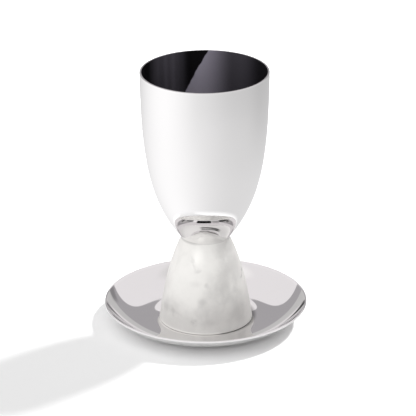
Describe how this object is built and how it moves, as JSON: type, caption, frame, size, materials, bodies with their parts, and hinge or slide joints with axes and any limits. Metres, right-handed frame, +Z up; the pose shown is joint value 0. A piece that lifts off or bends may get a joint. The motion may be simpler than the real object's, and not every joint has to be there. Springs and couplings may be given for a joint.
{
  "type": "kiddush cup",
  "caption": "Stemmed ceremonial wine cup: a deep egg-shaped polished steel bowl on a bell-shaped marble foot, standing loose on a shallow round steel saucer.",
  "frame": {"origin": "under the middle of the saucer, on the surface it stands on", "axes": "+Z up along the cup's axis; the cup and saucer are round, so +X and +Y are any two level directions"},
  "size_m": [0.12, 0.12, 0.1556],
  "materials": {
    "polished_steel": "mirror-polished stainless steel, silver-coloured, with faint turning and hairline wear",
    "white_marble": "honed warm white marble with soft grey clouds and a few thin veins"
  },
  "bodies": {
    "root": {"saucer": "polished_steel", "foot": "white_marble", "bowl": "polished_steel"}
  },
  "joints": []
}
